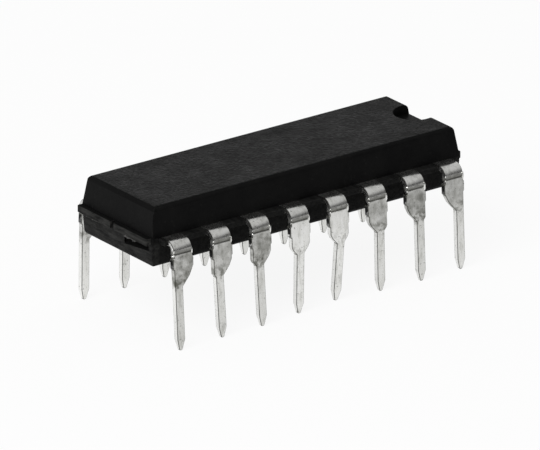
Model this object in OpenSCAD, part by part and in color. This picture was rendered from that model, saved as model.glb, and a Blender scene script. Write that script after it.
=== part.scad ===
// Sixteen-lead dual in-line integrated circuit package, in millimetres.
// X runs along the package towards its index notch, the two rows of leads stand at -Y and +Y,
// and Z = 0 is the plane that touches the lead tips. Lead 1 is beside the notch in the +Y row.

/* [Moulded body] */
// Width across the long sides at the parting line
body_w = 6.08; // [5.5:0.02:6.6]
// Body that runs on past the outermost pin centres at each end
end_margin = 0.85; // [0.65:0.01:1.2]
// Height of the upper half, above the parting line
upper_h = 1.62; // [1.4:0.02:2]
// Height of the lower half, below the parting line
lower_h = 1.56; // [1.2:0.01:1.8]
// Draft angle of the two ends of the upper half
end_draft = 9.3; // [3:0.1:12]
// Draft angle of the two long sides of the upper half
side_draft = 6.9; // [3:0.1:12]
// Draft angle all round the lower half
lower_draft = 3.2; // [1:0.1:8]
// Radius along the edges of the top face
edge_r = 0.26; // [0.1:0.01:0.5]
// Radius along the edges of the underside
base_r = 0.22; // [0.1:0.01:0.5]

/* [Index notch] */
// Radius of the half-round notch that marks the lead 1 end
notch_r = 1.1; // [0.7:0.05:1.5]
// Depth of the notch below the top face
notch_depth = 0.5; // [0.2:0.01:0.8]
// How far the notch's middle lies inside the edge of the top face
notch_in = 0.38; // [0:0.01:0.6]

/* [Moulding marks] */
// How far the resin webs between the leads stand out of the long sides
web_out = 0.48; // [0.3:0.01:0.6]
// Distance from the ends of the body to the ends of the webs
web_short = 0.42; // [0.2:0.01:0.5]
// How far the flat resin flanges stand out of the two ends
flange_out = 0.31; // [0.29:0.01:0.45]
// How far the flanges rise above the parting line
flange_up = 0.1; // [0.05:0.01:0.2]
// How far the flange at the notched end stops short of the -Y side
flange_short = 0.34; // [0.1:0.01:0.6]
// How far the flanges lie in from the long sides everywhere else
flange_inset = 0.05; // [0.04:0.01:0.1]
// Width of the broken mould gate under one flange
gate_w = 2.1; // [1.2:0.1:2.4]
// Height of the broken mould gate, at the end beside the tie bar
gate_h = 0.66; // [0.5:0.01:0.8]
// Depth of the broken mould gate
gate_depth = 0.22; // [0.12:0.01:0.3]
// Angle at which its lower lip climbs towards the long side
gate_climb = 7; // [0:1:10]
// Place of the gate's middle, measured from the package's middle towards -Y
gate_y = 1.65; // [1.4:0.05:1.8]
// Diameter of the two ejector pin marks on the underside
ejector_d = 1.6; // [1:0.1:2.4]
// Depth of the ejector pin marks
ejector_depth = 0.06; // [0.02:0.01:0.15]
// Distance of each ejector mark from the middle of the package
ejector_x = 6.1; // [4:0.1:7.5]

/* [Leads] */
// Pin pitch along a row
pitch = 2.54; // [2.5:0.01:2.6]
// How much less the pitch of the wide shoulders is, which crowd a little towards the middle
shoulder_crowd = 0.09; // [0.04:0.01:0.14]
// Thickness of the leadframe strip
strip_t = 0.3; // [0.2:0.01:0.38]
// Width of a lead's shoulder
shoulder_w = 1.13; // [1:0.01:1.3]
// Width of the pin that goes through the board
pin_w = 0.47; // [0.36:0.01:0.56]
// Length of the pin, from its tip to the seating plane
pin_l = 3.3; // [2.8:0.05:4]
// Height of the underside above the seating plane
standoff = 0.84; // [0.6:0.01:1.3]
// Outer radius of the bend
bend_r = 0.56; // [0.45:0.01:0.65]
// Distance from the end of the bend down to the forming crease
crease_drop = 0.08; // [0.06:0.01:0.2]
// Depth of the crease
crease = 0.035; // [0.02:0.005:0.05]
// Outward splay of the blades below the crease
splay = 3.4; // [0:0.1:5]
// Depth from the lead's top surface to the middle of the cut dam bar
dam_drop = 1.15; // [1.1:0.01:1.3]
// Height of the cut stub of the dam bar
dam_h = 0.5; // [0.3:0.01:0.6]
// How far the cut stub stands out of the lead's edge
dam_out = 0.06; // [0.02:0.01:0.08]
// Length over which the pin narrows to its tip
tip_l = 0.58; // [0.2:0.01:0.7]
// Width at the very tip
tip_w = 0.2; // [0.1:0.01:0.3]
// How far each flat of the tip is coined in
coin = 0.07; // [0.03:0.01:0.08]

/* [Leadframe inside] */
// Length of each wide anchor inside the body
anchor_l = 0.75; // [0.6:0.01:0.85]
// Diameter of the locking hole in each anchor
lock_d = 0.42; // [0.3:0.01:0.5]
// Width of the fingers that run to the die
finger_w = 0.36; // [0.3:0.01:0.4]
// Gap between neighbouring fingers, and between a finger and the paddle
finger_gap = 0.2; // [0.16:0.01:0.22]
// Length of the die paddle
paddle_l = 4.2; // [3.8:0.05:4.4]
// Width of the die paddle
paddle_w = 2.4; // [2.2:0.05:2.5]
// Depth of the paddle below the fingers
downset = 0.2; // [0.1:0.01:0.3]
// Width of the tie bars that held the paddle to the strip
tie_w = 0.3; // [0.25:0.01:0.35]
// How far the cut ends of the tie bars lie back from the flanges
tie_back = 0.27; // [0.1:0.01:0.28]

/* [Die and wires] */
// Length of the silicon die
die_l = 2.4; // [2:0.05:2.8]
// Width of the silicon die
die_w = 1.7; // [1.4:0.05:1.9]
// Thickness of the die
die_t = 0.28; // [0.2:0.01:0.4]
// Thickness of the adhesive under the die
attach_t = 0.03; // [0.02:0.01:0.06]
// Margin of adhesive that shows round the die
attach_rim = 0.12; // [0.05:0.01:0.2]
// Diameter of a bond wire
wire_d = 0.06; // [0.05:0.005:0.08]
// Height of the wire loops above the die
loop_h = 0.28; // [0.2:0.01:0.4]

/* [Hidden] */
$fn = 48;
row_leads = 8;
lead_count = 2 * row_leads;

function two_digits(n) = str(n < 10 ? "0" : "", n);
LEAD_NODES = [for (n = [1:lead_count]) str("lead_", two_digits(n))];
WIRE_NODES = [for (n = [1:lead_count]) str("bond_wire_", two_digits(n))];

resin = "#26262a";
tin = "#c9c9c2";
copper = "#b8734a";
adhesive = "#d8d2c0";
silicon = "#5b6470";
gold = "#d9b25a";

// Levels, from the lead tips up
z_seat = pin_l;
z_bottom = z_seat + standoff;
z_part = z_bottom + lower_h;
z_top = z_part + upper_h;
z_strip = z_part - strip_t;
z_paddle = z_part - downset;
z_die = z_paddle + attach_t;
z_die_top = z_die + die_t;

// Half sizes of the body at the parting line, the top and the underside
half_l = (row_leads - 1) / 2 * pitch + end_margin;
half_w = body_w / 2;
top_half_l = half_l - upper_h * tan(end_draft);
top_half_w = half_w - upper_h * tan(side_draft);
base_inset = lower_h * tan(lower_draft);

// Places along Y where a lead leaves its web, and where its outer face stands
web_y = half_w + web_out;
outer_y = web_y + bend_r;
flange_x = half_l + flange_out;
anchor_y = half_w - anchor_l;
neck_l = 0.25;
neck_y = anchor_y - neck_l;

// A narrower step than this between a shoulder's edge and its pin's is drawn as one edge
least_step = 0.05;
// A cutter goes this far past the face that it opens
over = 0.5;
// Solids that are joined reach this far into each other
lap = 0.2;

// Bends of the single pins in degrees, leads 1 to 16, as handling left them: outwards from
// the body, and sideways towards +X
spread = [1.5, 2, 1, 2, 1.5, 1, 1.5, 1.5, 5.9, 3.6, 3.5, -1.2, -6.2, -0.3, 2.1, 0.7];
lean = [0, 0.4, -0.4, 0.3, 0, -0.3, 0, 0, -1.8, 1, 0.8, 0, 0.2, 1.4, 0.7, 1.7];

// Every lead has a row (-1 is the -Y row) and a slot, counted from the -X end
function row_of(n) = n > row_leads ? -1 : 1;
function slot_of(n) = n > row_leads ? n - row_leads - 1 : row_leads - n;
function place_of(slot) = slot - (row_leads - 1) / 2;
// Steps from the end of the row: 0 is an end lead, 3 is beside the middle
function step_of(slot) = row_leads / 2 - 0.5 - abs(place_of(slot));

// Corner p of an outline between the neighbours a and b, replaced by its fillet's two
// tangent points, and the centre of that fillet
function unit(v) = v / norm(v);
function half_angle(a, p, b) = acos(unit(a - p) * unit(b - p)) / 2;
function tangents(a, p, b, r) =
    let (run = r / tan(half_angle(a, p, b)))
    [p + run * unit(a - p), p + run * unit(b - p)];
function fillet_centre(a, p, b, r) =
    p + r / sin(half_angle(a, p, b)) * unit(unit(a - p) + unit(b - p));

// An outline whose corners are rounded, each to its own radius, or sharp where that is 0
module rounded(corners, radii) {
    n = len(corners);
    polygon([
        for (i = [0:n - 1])
            let (a = corners[(i + n - 1) % n], b = corners[(i + 1) % n])
            each radii[i] > 0 ? tangents(a, corners[i], b, radii[i]) : [corners[i]]
    ]);
    for (i = [0:n - 1])
        if (radii[i] > 0)
            translate(fillet_centre(corners[(i + n - 1) % n], corners[i], corners[(i + 1) % n], radii[i]))
                circle(r = radii[i]);
}

// The body's outline across one axis: half widths at the underside, parting line and top
module body_outline(base, mid, top) {
    rounded(
        [[-base, z_bottom], [base, z_bottom], [mid, z_part], [top, z_top], [-top, z_top], [-mid, z_part]],
        [base_r, base_r, 0, edge_r, edge_r, 0]
    );
}

// Both drafted halves at once: the length outline and the width outline, crossed
module drafted_block() {
    intersection() {
        translate([0, half_w + over, 0])
            rotate([90, 0, 0])
                linear_extrude(2 * (half_w + over))
                    body_outline(half_l - base_inset, half_l, top_half_l);
        translate([-half_l - over, 0, 0])
            rotate([90, 0, 90])
                linear_extrude(2 * (half_l + over))
                    body_outline(half_w - base_inset, half_w, top_half_w);
    }
}

// Resin that filled the strip's own thickness at the parting line: webs between the leads
// along the sides, and a flat flange at each end
module parting_resin() {
    translate([-half_l + web_short, -web_y, z_strip])
        cube([2 * (half_l - web_short), 2 * web_y, strip_t]);
    for (side = [-1, 1]) {
        short = side > 0 ? flange_short : flange_inset;
        translate([side > 0 ? half_l - lap : -flange_x, short - half_w, z_strip])
            cube([flange_out + lap, body_w - flange_inset - short, strip_t + flange_up]);
    }
}

module index_notch() {
    translate([top_half_l - notch_in, 0, z_top - notch_depth])
        cylinder(r = notch_r, h = notch_depth + over);
}

// The broken gate is a hollow under the flange, whose floor slopes inwards from its lower lip
module gate_scar() {
    floor_h = gate_h / 3;
    floor_slope = floor_h / (gate_depth - base_inset / 2);
    intersection() {
        translate([-half_l, gate_w / 2 - gate_y, z_strip - gate_h])
            rotate([90 - gate_climb, 0, 0])
                linear_extrude(gate_w + over)
                    polygon([
                        [-over, floor_h - floor_slope * (gate_depth + over)],
                        [gate_depth, floor_h],
                        [gate_depth, 2 * gate_h],
                        [-over, 2 * gate_h],
                    ]);
        translate([-half_l - over, -gate_w / 2 - gate_y, z_strip - 2 * gate_h])
            cube([2 * over, gate_w, 2 * gate_h]);
    }
}

// The slots in the flanges, left open where the tie bars were cut back
module tie_slots() {
    for (side = [-1, 1])
        translate([side * (flange_x - tie_back / 2 + over / 2), 0, z_strip + strip_t / 2])
            cube([tie_back + over, tie_w, strip_t + 2 * over], center = true);
}

module ejector_marks() {
    for (side = [-1, 1])
        translate([side * ejector_x, 0, z_bottom - over])
            cylinder(d = ejector_d, h = ejector_depth + over);
}

module moulding() {
    difference() {
        drafted_block();
        index_notch();
        ejector_marks();
        gate_scar();
    }
    difference() {
        parting_resin();
        tie_slots();
    }
}

// The moulded body, with pockets of exactly the shape of what it was moulded round
module body() {
    color(resin)
        difference() {
            moulding();
            for (n = [1:lead_count]) {
                lead_shape(n);
                wire_shape(n);
            }
            paddle_shape();
            attach_shape();
            die_shape();
        }
}

// Outline of a strip along a path, with a width at each point and mitred corners
function left_of(v) = [-v[1], v[0]];
function mitre(path, i) =
    let (
        last = len(path) - 1,
        before = left_of(unit(path[max(i, 1)] - path[max(i, 1) - 1])),
        after = left_of(unit(path[min(i, last - 1) + 1] - path[min(i, last - 1)]))
    )
    (before + after) / (1 + before * after);
function strip_outline(path, widths) = concat(
    [for (i = [0:len(path) - 1]) path[i] + widths[i] / 2 * mitre(path, i)],
    [for (i = [len(path) - 1:-1:0]) path[i] - widths[i] / 2 * mitre(path, i)]
);

// Where each finger runs, in a frame whose X points away from the package's middle and whose
// Y points out through the lead's own row. The outer fingers run along the package to the
// paddle's short edge, the next passes its long edge, and the inner one points straight at it.
run_y = [for (s = [0:2]) tie_w / 2 + (s + 1) * finger_gap + (s + 0.5) * finger_w];
tip_x = [paddle_l / 2 + finger_gap, paddle_l / 2 + finger_gap, paddle_l / 2 - 2 * finger_gap];
inner_tip = [paddle_l / 2 - 3 * finger_gap - 1.5 * finger_w, paddle_w / 2 + finger_gap];

function finger_path(shoulder_x, s) =
    s < 3
        ? let (fall = neck_y - run_y[s])
            [[shoulder_x, neck_y], [shoulder_x - fall, run_y[s]], [tip_x[s], run_y[s]]]
        : [[shoulder_x, neck_y], [inner_tip[0], neck_y - abs(shoulder_x - inner_tip[0])], inner_tip];

// The lead's flat part, from the bend inwards, for a lead on the +X side of the +Y row
module flat_outline(shoulder_x, s) {
    path = concat([[shoulder_x, web_y], [shoulder_x, anchor_y]], finger_path(shoulder_x, s));
    difference() {
        polygon(strip_outline(path, [shoulder_w, shoulder_w, finger_w, finger_w, finger_w]));
        translate([shoulder_x, anchor_y + lock_d])
            circle(d = lock_d);
    }
}

// Side view of a formed lead in Y and Z: bend, crease, splayed blade, and pin with its own bend
module formed_profile(spread_deg) {
    inner_y = outer_y - strip_t;
    bend_z = z_part - bend_r;
    crease_z = bend_z - crease_drop;
    seat_out = (crease_z - z_seat) * tan(splay);
    low_out = seat_out + (z_seat - tip_l) * tan(spread_deg);
    tip_out = seat_out + z_seat * tan(spread_deg);
    intersection() {
        translate([web_y, bend_z])
            difference() {
                circle(r = bend_r);
                circle(r = bend_r - strip_t);
            }
        translate([web_y, bend_z])
            square(bend_r + over);
    }
    polygon([
        [inner_y, bend_z],
        [outer_y, bend_z],
        [outer_y, crease_z + crease],
        [outer_y - crease, crease_z],
        [outer_y + crease * tan(splay), crease_z - crease],
        [outer_y + seat_out, z_seat],
        [outer_y + low_out, tip_l],
        [outer_y + tip_out - coin, 0],
        [inner_y + tip_out + coin, 0],
        [inner_y + low_out, tip_l],
        [inner_y + seat_out, z_seat],
        [inner_y, crease_z],
    ]);
}

// Half of a lead's front view, from the top down: u is measured from the shoulder's middle
// on one side, and pin_u is where the pin's middle lies on that side. Where the pin's edge
// nearly meets the shoulder's, the outline runs straight down.
function half_front(pin_u) =
    let (
        half_s = shoulder_w / 2,
        pin_edge = pin_u + pin_w / 2,
        step = half_s - pin_edge,
        dam_top = z_part - dam_drop + dam_h / 2,
        dam_foot = dam_top - dam_h
    )
    [
        [half_s, z_part + over],
        [half_s, dam_top + dam_out],
        [half_s + dam_out, dam_top],
        [half_s + dam_out, dam_foot],
        [half_s, dam_foot - dam_out],
        if (step > least_step) [half_s, z_seat + 1.4 * step],
        if (step > least_step) [half_s - 0.3 * step, z_seat + 0.8 * step],
        [pin_edge, z_seat],
    ];
function flip(points) = [for (i = [len(points) - 1:-1:0]) [-points[i][0], points[i][1]]];

// Front view of the formed lead in X and Z, round its shoulder's middle
module front_outline(pin_u, lean_deg) {
    tip_u = pin_u - z_seat * tan(lean_deg);
    low_u = pin_u - (z_seat - tip_l) * tan(lean_deg);
    polygon(concat(
        half_front(pin_u),
        [[low_u + pin_w / 2, tip_l], [tip_u + tip_w / 2, tip_w / 4], [tip_u + tip_w / 4, 0]],
        [[tip_u - tip_w / 4, 0], [tip_u - tip_w / 2, tip_w / 4], [low_u - pin_w / 2, tip_l]],
        flip(half_front(-pin_u))
    ));
}

// One lead in one piece: the flat finger in the resin, and the formed part outside it
module lead_shape(n) {
    slot = slot_of(n);
    place = place_of(slot);
    side = sign(place);
    shoulder_x = abs(place) * (pitch - shoulder_crowd);
    pin_shift = abs(place) * shoulder_crowd;
    mirror([0, row_of(n) < 0 ? 1 : 0, 0])
        mirror([side < 0 ? 1 : 0, 0, 0]) {
            translate([0, 0, z_strip])
                linear_extrude(strip_t)
                    flat_outline(shoulder_x, step_of(slot));
            intersection() {
                translate([shoulder_x - shoulder_w, 0, 0])
                    rotate([90, 0, 90])
                        linear_extrude(2 * shoulder_w)
                            formed_profile(spread[n - 1]);
                translate([shoulder_x, outer_y + 2 * over, 0])
                    rotate([90, 0, 0])
                        linear_extrude(3 * over + bend_r)
                            front_outline(pin_shift, -side * lean[n - 1]);
            }
        }
}

module lead(n) {
    color(tin)
        lead_shape(n);
}

// Side view of a tie bar in X and Z, which steps down to the paddle
module tie_profile() {
    ramp_x = paddle_l / 2 + finger_gap;
    end_x = flange_x - tie_back;
    polygon([
        [paddle_l / 2 - lap, z_paddle],
        [ramp_x, z_paddle],
        [ramp_x + 2 * downset, z_part],
        [end_x, z_part],
        [end_x, z_strip],
        [ramp_x + 2 * downset, z_strip],
        [ramp_x, z_paddle - strip_t],
        [paddle_l / 2 - lap, z_paddle - strip_t],
    ]);
}

module paddle_shape() {
    translate([-paddle_l / 2, -paddle_w / 2, z_paddle - strip_t])
        cube([paddle_l, paddle_w, strip_t]);
    for (side = [0, 1])
        mirror([side, 0, 0])
            translate([0, tie_w / 2, 0])
                rotate([90, 0, 0])
                    linear_extrude(tie_w)
                        tie_profile();
}

module die_paddle() {
    color(copper)
        paddle_shape();
}

module attach_shape() {
    translate([-die_l / 2 - attach_rim, -die_w / 2 - attach_rim, z_paddle])
        cube([die_l + 2 * attach_rim, die_w + 2 * attach_rim, attach_t]);
}

module die_attach() {
    color(adhesive)
        attach_shape();
}

module die_shape() {
    translate([-die_l / 2, -die_w / 2, z_die])
        cube([die_l, die_w, die_t]);
}

module die() {
    color(silicon)
        die_shape();
}

// Bond pads on the die and landing places on the fingers, in the frame of finger_path
pad_inset = 0.12;
landing = 0.2;
pad_at = [
    [die_l / 2 - pad_inset, 0.3 * die_w / 2],
    [die_l / 2 - pad_inset, 0.7 * die_w / 2],
    [0.68 * die_l / 2, die_w / 2 - pad_inset],
    [0.3 * die_l / 2, die_w / 2 - pad_inset],
];
land_at = concat(
    [for (s = [0:2]) [tip_x[s] + landing, run_y[s]]],
    [[inner_tip[0], inner_tip[1] + landing]]
);

// A wire in its own upright plane: a rise from the die, a bend, and a straight run down to the
// finger, whose slope is that of the tangent from the landing to the bend
wire_sides = 8;
bend_steps = 3;

function wire_route(span) =
    let (
        turn_r = 2 * wire_d,
        turn_z = z_die_top + loop_h - turn_r,
        drop = [span - turn_r, z_part - turn_z],
        top_angle = atan2(drop[1], drop[0]) + acos(turn_r / norm(drop))
    )
    concat(
        [[0, z_die_top]],
        [
            for (i = [0:bend_steps])
                let (angle = 180 - i / bend_steps * (180 - top_angle))
                [turn_r + turn_r * cos(angle), turn_z + turn_r * sin(angle)]
        ],
        [[span, z_part]]
    );

// The section's upright direction at each point of the route: mitred at the corners, and
// level at the landing, where the wire is pressed flat onto the finger
function section_up(route, i) =
    i < len(route) - 1 ? mitre(route, i) : [1 / mitre(route, i)[0], 0];

module wire_run(span) {
    route = wire_route(span);
    rings = len(route);
    points = [
        for (i = [0:rings - 1], j = [0:wire_sides - 1])
            let (
                up = section_up(route, i),
                rise = wire_d / 2 * sin(360 * j / wire_sides),
                reach = wire_d / 2 * cos(360 * j / wire_sides)
            )
            [route[i][0] + rise * up[0], reach, route[i][1] + rise * up[1]]
    ];
    polyhedron(points, concat(
        [[for (j = [0:wire_sides - 1]) j]],
        [
            for (i = [0:rings - 2], j = [0:wire_sides - 1])
                let (k = (j + 1) % wire_sides)
                [i * wire_sides + j, (i + 1) * wire_sides + j, (i + 1) * wire_sides + k, i * wire_sides + k]
        ],
        [[for (j = [wire_sides - 1:-1:0]) (rings - 1) * wire_sides + j]]
    ));
    translate([0, 0, z_die_top])
        cylinder(d = 2 * wire_d, h = wire_d / 2);
}

module wire_shape(n) {
    slot = slot_of(n);
    s = step_of(slot);
    way = land_at[s] - pad_at[s];
    mirror([0, row_of(n) < 0 ? 1 : 0, 0])
        mirror([place_of(slot) < 0 ? 1 : 0, 0, 0])
            translate([pad_at[s][0], pad_at[s][1], 0])
                rotate([0, 0, atan2(way[1], way[0])])
                    wire_run(norm(way));
}

module bond_wire(n) {
    color(gold)
        wire_shape(n);
}

body();
die_paddle();
die_attach();
die();
for (n = [1:lead_count])
    lead(n);
for (n = [1:lead_count])
    bond_wire(n);
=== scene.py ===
# %% [markdown]
# # A sixteen-lead dual in-line package
#
# The real object is three things in one: a strip of copper alloy stamped and bent into sixteen
# leads, a chip of silicon wired to them, and black epoxy moulded round the lot. This lesson
# dresses its exact solids, in metres, with X along the package towards its index notch, the
# rows of leads at -Y and +Y, and the floor at Z = 0.

# %% Load the frame
import math
import random

import bmesh
import bpy
from mathutils import Matrix, Vector
from mathutils.bvhtree import BVHTree


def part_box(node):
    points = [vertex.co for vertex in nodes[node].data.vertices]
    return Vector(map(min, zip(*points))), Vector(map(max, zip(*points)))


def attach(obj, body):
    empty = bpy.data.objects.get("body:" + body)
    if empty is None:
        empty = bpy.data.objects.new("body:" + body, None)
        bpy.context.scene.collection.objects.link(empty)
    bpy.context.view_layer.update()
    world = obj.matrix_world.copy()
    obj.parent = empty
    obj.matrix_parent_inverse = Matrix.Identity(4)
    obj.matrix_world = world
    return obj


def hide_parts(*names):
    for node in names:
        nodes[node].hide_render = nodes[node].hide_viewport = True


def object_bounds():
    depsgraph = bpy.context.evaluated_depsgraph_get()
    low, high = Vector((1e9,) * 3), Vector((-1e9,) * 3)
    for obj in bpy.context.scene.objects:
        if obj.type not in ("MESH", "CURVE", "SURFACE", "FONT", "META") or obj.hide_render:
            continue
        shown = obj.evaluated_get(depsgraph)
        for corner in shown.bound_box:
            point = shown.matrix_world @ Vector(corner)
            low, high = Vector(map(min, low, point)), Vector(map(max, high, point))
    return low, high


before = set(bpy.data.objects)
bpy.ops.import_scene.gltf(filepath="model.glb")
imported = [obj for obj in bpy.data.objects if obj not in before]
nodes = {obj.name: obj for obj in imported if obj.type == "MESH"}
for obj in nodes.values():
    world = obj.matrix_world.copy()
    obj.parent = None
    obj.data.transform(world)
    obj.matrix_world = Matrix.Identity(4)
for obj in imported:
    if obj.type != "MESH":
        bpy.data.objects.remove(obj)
cad_low, cad_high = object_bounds()
MM = 0.001
print("solids:", len(nodes), "box in mm:", [round(v / MM, 2) for v in (*cad_low, *cad_high)])

# %% [markdown]
# ## The camera
#
# The photograph was taken from far away through a long lens, so its lines hardly converge.
# A camera can be placed by hand until the picture looks right, but a fit is surer: the lead
# tips stand on a known 2.54 mm grid, and only one camera puts them all where the picture has
# them. It is given here as the point it looks at, how far away it is, and its three angles.

# %% Place the camera
TARGET = Vector((-0.16, -0.05, 3.30)) * MM
DISTANCE = 589.3 * MM
AZIMUTH = math.radians(-36.43)
ELEVATION = math.radians(21.65)
ROLL = math.radians(-0.16)
LENS = 770.1

back = Vector((
    math.sin(AZIMUTH) * math.cos(ELEVATION),
    -math.cos(AZIMUTH) * math.cos(ELEVATION),
    math.sin(ELEVATION),
))
camera_data = bpy.data.cameras.new("camera")
camera_data.lens = LENS
camera_data.sensor_width = 36.0
camera_data.clip_start = 0.01
camera_data.clip_end = 20.0
camera = bpy.data.objects.new("camera", camera_data)
bpy.context.scene.collection.objects.link(camera)
turn = (-back).to_track_quat("-Z", "Y").to_matrix() @ Matrix.Rotation(ROLL, 3, "Z")
camera.matrix_world = Matrix.LocRotScale(TARGET + back * DISTANCE, turn.to_quaternion(), None)
bpy.context.scene.camera = camera
print("camera at mm:", [round(v / MM, 1) for v in camera.location])

# %% [markdown]
# ## Small helpers
#
# Every material below is built from nodes in code. A node takes several lines to make, fill
# and link, and the same few kinds come back all the time. So each kind gets a short helper,
# and a material then reads like a recipe.


# %% Making nodes
def open_socket(node, name):
    """The node's input of that name or number that its settings leave in use."""
    if isinstance(name, int):
        return node.inputs[name]
    return next(socket for socket in node.inputs if socket.name == name and socket.enabled)


def fill(tree, socket, value):
    """Links a socket, or sets its value."""
    if isinstance(value, bpy.types.NodeSocket):
        tree.links.new(value, socket)
    else:
        socket.default_value = value


def add(tree, kind, inputs=None, **settings):
    """A node of that kind, with its settings and its input values or links."""
    node = tree.nodes.new(kind)
    for name, value in settings.items():
        setattr(node, name, value)
    for name, value in (inputs or {}).items():
        fill(tree, open_socket(node, name), value)
    return node


def rgba(colour):
    """A colour with its alpha, or the link as it is."""
    return (*colour, 1) if isinstance(colour, tuple) else colour


print("Blender:", bpy.app.version_string)


# %% Sums, mixes and coordinates
def math_node(tree, operation, first, second, third=None):
    """The result of a sum on values or links."""
    inputs = {0: first, 1: second} if third is None else {0: first, 1: second, 2: third}
    return add(tree, "ShaderNodeMath", inputs, operation=operation).outputs[0]


def times(tree, first, *others):
    """The product of two or more values or links."""
    for other in others:
        first = math_node(tree, "MULTIPLY", first, other)
    return first


def blend(tree, share, first, second):
    """The first colour, with that share of the second."""
    inputs = {"Factor": share, "A": rgba(first), "B": rgba(second)}
    return add(tree, "ShaderNodeMix", inputs, data_type="RGBA").outputs["Result"]


def remap(tree, value, low, high, come_from=(0.0, 1.0), interpolation="LINEAR"):
    """A value carried from one range, 0 to 1 unless given, to low and high."""
    inputs = {
        "Value": value, "From Min": come_from[0], "From Max": come_from[1],
        "To Min": low, "To Max": high}
    return add(tree, "ShaderNodeMapRange", inputs, interpolation_type=interpolation).outputs[0]


def ramp(tree, factor, stops):
    """A colour ramp through those (position, colour) stops."""
    node = add(tree, "ShaderNodeValToRGB", {"Fac": factor})
    elements = node.color_ramp.elements
    while len(elements) < len(stops):
        elements.new(0.5)
    for element, (position, colour) in zip(elements, stops):
        element.position = position
        element.color = rgba(colour)
    return node.outputs["Color"]


def object_place(tree):
    """The place on the piece, in metres."""
    return tree.nodes.new("ShaderNodeTexCoord").outputs["Object"]


def split(tree, place):
    """The node that splits a place into its X, Y and Z."""
    return add(tree, "ShaderNodeSeparateXYZ", {"Vector": place})


def drawn_out(tree, place, scale):
    """The place scaled along each axis, which stretches a pattern where the scale is small."""
    return add(tree, "ShaderNodeMapping", {"Vector": place, "Scale": scale}).outputs[0]


def marked(tree, name):
    """The level that the piece's mesh carries under that name, and 0 where it has none."""
    return add(tree, "ShaderNodeAttribute", attribute_name=name).outputs["Fac"]


HELPERS = (math_node, times, blend, remap, ramp, object_place, split, drawn_out, marked)
print("helpers:", [helper.__name__ for helper in HELPERS])


# %% Groups and materials
def new_group(name, inputs, outputs):
    """An empty shader group with those sockets: {socket name: (kind, default)}."""
    tree = bpy.data.node_groups.new(name, "ShaderNodeTree")
    for socket_name, (kind, default) in inputs.items():
        socket = tree.interface.new_socket(socket_name, in_out="INPUT", socket_type=kind)
        if default is not None:
            socket.default_value = default
    for socket_name, kind in outputs.items():
        tree.interface.new_socket(socket_name, in_out="OUTPUT", socket_type=kind)
    return tree, tree.nodes.new("NodeGroupInput"), tree.nodes.new("NodeGroupOutput")


def from_group(tree, group, inputs):
    """What that group puts out in another tree, with its own values."""
    node = tree.nodes.new("ShaderNodeGroup")
    node.node_tree = group
    for name, value in inputs.items():
        fill(tree, node.inputs[name], value)
    return node.outputs[0]


def new_material(name):
    """A material with an empty tree but for its surface shader and output."""
    material = bpy.data.materials.new(name)
    material.use_nodes = True
    tree = material.node_tree
    tree.nodes.clear()
    shader = tree.nodes.new("ShaderNodeBsdfPrincipled")
    output = tree.nodes.new("ShaderNodeOutputMaterial")
    tree.links.new(shader.outputs["BSDF"], output.inputs["Surface"])
    return material, tree, shader


WHITE = (1.0, 1.0, 1.0, 1.0)
print("materials so far:", len(bpy.data.materials))

# %% [markdown]
# ## The floor
#
# The picture has a plain white ground. A floor that is only lit would need more light than the
# dark resin should get, so the floor shows the camera a plain white, and keeps a share of its
# lit colour, which holds the soft shadow. The shiny leads mirror it too. In a studio the sheet
# is brightest under the object and falls off outwards and towards the camera, and that
# gradient is what gives bent metal its shape, so mirrored rays see the floor graded.

# %% Lay the floor
FLOOR_RADIUS = 3.0
FLOOR_SEGMENTS = 96
FLOOR_COLOUR = (0.86, 0.86, 0.86, 1.0)
PLAIN_SHARE = 0.90
MIRRORED_SHARE = 0.75
floor_mesh = bpy.data.meshes.new("floor")
floor_bm = bmesh.new()
bmesh.ops.create_circle(floor_bm, cap_ends=True, segments=FLOOR_SEGMENTS, radius=FLOOR_RADIUS)
floor_bm.to_mesh(floor_mesh)
floor_bm.free()
floor = bpy.data.objects.new("floor", floor_mesh)
bpy.context.scene.collection.objects.link(floor)

floor_material = bpy.data.materials.new("pale_floor")
floor_material.use_nodes = True
tree = floor_material.node_tree
tree.nodes.clear()
rays = tree.nodes.new("ShaderNodeLightPath").outputs
mirrored = math_node(tree, "MAXIMUM", rays["Is Glossy Ray"], rays["Is Transmission Ray"])
direct_share = times(tree, rays["Is Camera Ray"], PLAIN_SHARE)
plain_share = math_node(tree, "MULTIPLY_ADD", mirrored, MIRRORED_SHARE, direct_share)
print("floor across, in m:", 2 * FLOOR_RADIUS)

# %% Grade the floor for mirrored rays
DIM_FLOOR = 0.82
DIM_FLOOR_Y = -7.0 * MM
PALE_FLOOR_Y = 3.0 * MM
NEAR_FLOOR = 14.0 * MM
FAR_FLOOR = 36.0 * MM
FAR_LEVEL = 0.38
place = object_place(tree)
across = split(tree, place).outputs["Y"]
dimming = remap(tree, across, DIM_FLOOR, 1.0, (DIM_FLOOR_Y, PALE_FLOOR_Y), "SMOOTHSTEP")
away = add(tree, "ShaderNodeVectorMath", {0: place}, operation="LENGTH").outputs["Value"]
fading = remap(tree, away, 1.0, FAR_LEVEL, (NEAR_FLOOR, FAR_FLOOR), "SMOOTHSTEP")
missing = math_node(tree, "SUBTRACT", 1.0, times(tree, dimming, fading))
strength = math_node(tree, "SUBTRACT", 1.0, times(tree, mirrored, missing))
lit = add(tree, "ShaderNodeBsdfDiffuse", {"Color": FLOOR_COLOUR})
plain = add(tree, "ShaderNodeEmission", {"Color": WHITE, "Strength": strength})
mixed = add(tree, "ShaderNodeMixShader", {
    "Fac": plain_share, 1: lit.outputs[0], 2: plain.outputs[0]})
add(tree, "ShaderNodeOutputMaterial", {"Surface": mixed.outputs[0]})
floor_mesh.materials.append(floor_material)
print("floor for mirrored rays, near and far:", 1.0, FAR_LEVEL)

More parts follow.
